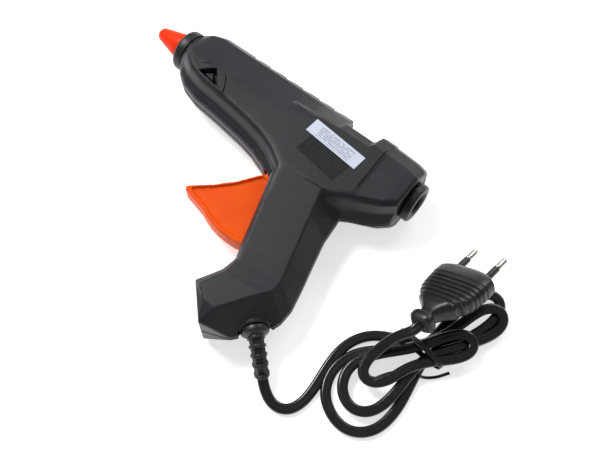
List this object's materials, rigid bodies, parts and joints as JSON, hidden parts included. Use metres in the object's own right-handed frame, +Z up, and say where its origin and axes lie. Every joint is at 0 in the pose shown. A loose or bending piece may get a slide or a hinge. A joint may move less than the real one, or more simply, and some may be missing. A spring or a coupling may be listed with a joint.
{
  "type": "hot-melt glue gun",
  "caption": "Corded hot-melt glue gun with an orange trigger that drives a stick feed, black housing halves, silicone nozzle sleeve, hanked mains cord and Euro plug.",
  "frame": {"origin": "middle of the gun's footprint on the table, the gun lying on its right side", "axes": "+X along the barrel from the nozzle to the stick inlet, +Y from the handle to the barrel's top, +Z up through the gun's left side"},
  "size_m": [0.2569, 0.1527, 0.0342],
  "materials": {
    "housing_plastic": "satin textured",
    "nozzle_brass": "satin",
    "orange_silicone": "matte",
    "black_plastic": "satin",
    "cast_aluminium": "as cast",
    "heater_ceramic": "matte ceramic",
    "insulating_film": "film",
    "spring_steel": "bright",
    "red_silicone": "matte",
    "orange_plastic": "satin",
    "nylon": "matte",
    "lever_steel": "stamped",
    "screw_steel": "dark",
    "cord_pvc": "glossy PVC",
    "brown_wire": "PVC",
    "blue_wire": "PVC",
    "relief_pvc": "PVC",
    "plug_pvc": "PVC",
    "pin_nickel": "nickel plated",
    "pin_sleeve": "matte",
    "tie_band": "coated",
    "rating_label": "printed film"
  },
  "bodies": {
    "gun": {"housing_left": "housing_plastic", "housing_right": "housing_plastic", "nozzle": "nozzle_brass", "nozzle_sleeve": "orange_silicone", "nozzle_collar": "black_plastic", "melt_chamber": "cast_aluminium", "ptc_heater": "heater_ceramic", "heater_insulator": "insulating_film", "heater_clip": "spring_steel", "stick_seal": "red_silicone", "seal_clamp": "spring_steel", "rear_guide": "black_plastic", "trigger_pin": "spring_steel", "return_spring": "spring_steel", "cord_clamp": "black_plastic", "cord_tail": "cord_pvc", "live_wire": "brown_wire", "neutral_wire": "blue_wire", "strain_relief": "relief_pvc", "cord": "cord_pvc", "cord_hank": "cord_pvc", "cable_tie": "tie_band", "plug_body": "plug_pvc", "plug_pin_sleeve_left": "pin_sleeve", "plug_pin_sleeve_right": "pin_sleeve", "plug_pin_left": "pin_nickel", "plug_pin_right": "pin_nickel", "rating_label": "rating_label", "housing_screw_1": "screw_steel", "housing_screw_2": "screw_steel", "housing_screw_3": "screw_steel", "housing_screw_4": "screw_steel", "housing_screw_5": "screw_steel", "housing_screw_6": "screw_steel", "housing_screw_7": "screw_steel", "cord_clamp_screw_1": "screw_steel", "cord_clamp_screw_2": "screw_steel"},
    "trigger": {"trigger": "orange_plastic", "drive_pin": "spring_steel"},
    "feed_carriage": {"feed_carriage": "nylon", "grip_lever_pin": "spring_steel"},
    "grip_lever": {"grip_lever": "lever_steel"}
  },
  "joints": [
    {"name": "trigger_pivot", "type": "hinge", "parent": "gun", "child": "trigger", "pos_m": [0.02375, 0.0175, 0.017], "axis": [0, 0, 1], "range_deg": [0, 22], "stiffness_Nm_per_rad": 0.5, "springref_deg": -17.19},
    {"name": "feed_slide", "type": "slide", "parent": "gun", "child": "feed_carriage", "axis": [-1, 0, 0], "range_m": [0, 0.0066], "deforming": ["return_spring"]},
    {"name": "grip_lever_hinge", "type": "hinge", "parent": "feed_carriage", "child": "grip_lever", "pos_m": [0.02728, 0.0413, 0.017], "axis": [0, 0, 1], "range_deg": [-5.6, 0]}
  ],
  "couplings": [
    {"joint": "feed_slide", "follows": "trigger_pivot", "m_per_rad": 0.01698},
    {"joint": "grip_lever_hinge", "follows": "trigger_pivot", "ratio": -0.25}
  ]
}
